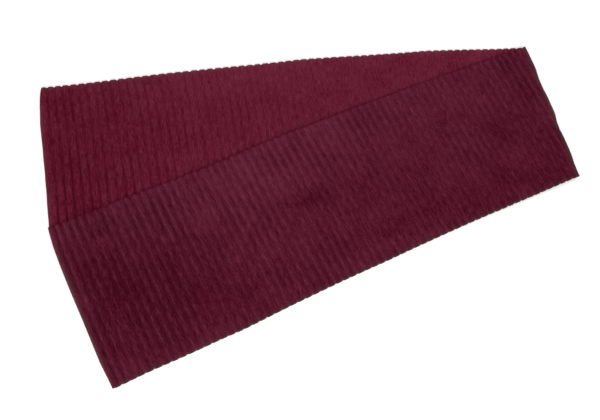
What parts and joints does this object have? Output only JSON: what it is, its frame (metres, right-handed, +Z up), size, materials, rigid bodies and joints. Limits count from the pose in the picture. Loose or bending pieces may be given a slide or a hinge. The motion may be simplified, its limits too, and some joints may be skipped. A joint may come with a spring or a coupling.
{
  "type": "pleated scarf",
  "caption": "Long pleated fleece scarf, folded once at a slant and laid flat so that its two halves fan apart.",
  "frame": {"origin": "bottom centre of the bounding box, on the surface that the scarf lies on", "axes": "+X along the scarf towards its folded end, +Y across it towards the lower half's outer edge, +Z up"},
  "size_m": [0.9566, 0.6396, 0.012],
  "materials": {
    "lower_stretch": "matte",
    "folded_end": "matte",
    "upper_stretch": "matte"
  },
  "bodies": {
    "root": {"lower_stretch": "lower_stretch", "folded_end": "folded_end", "upper_stretch": "upper_stretch"}
  },
  "joints": []
}
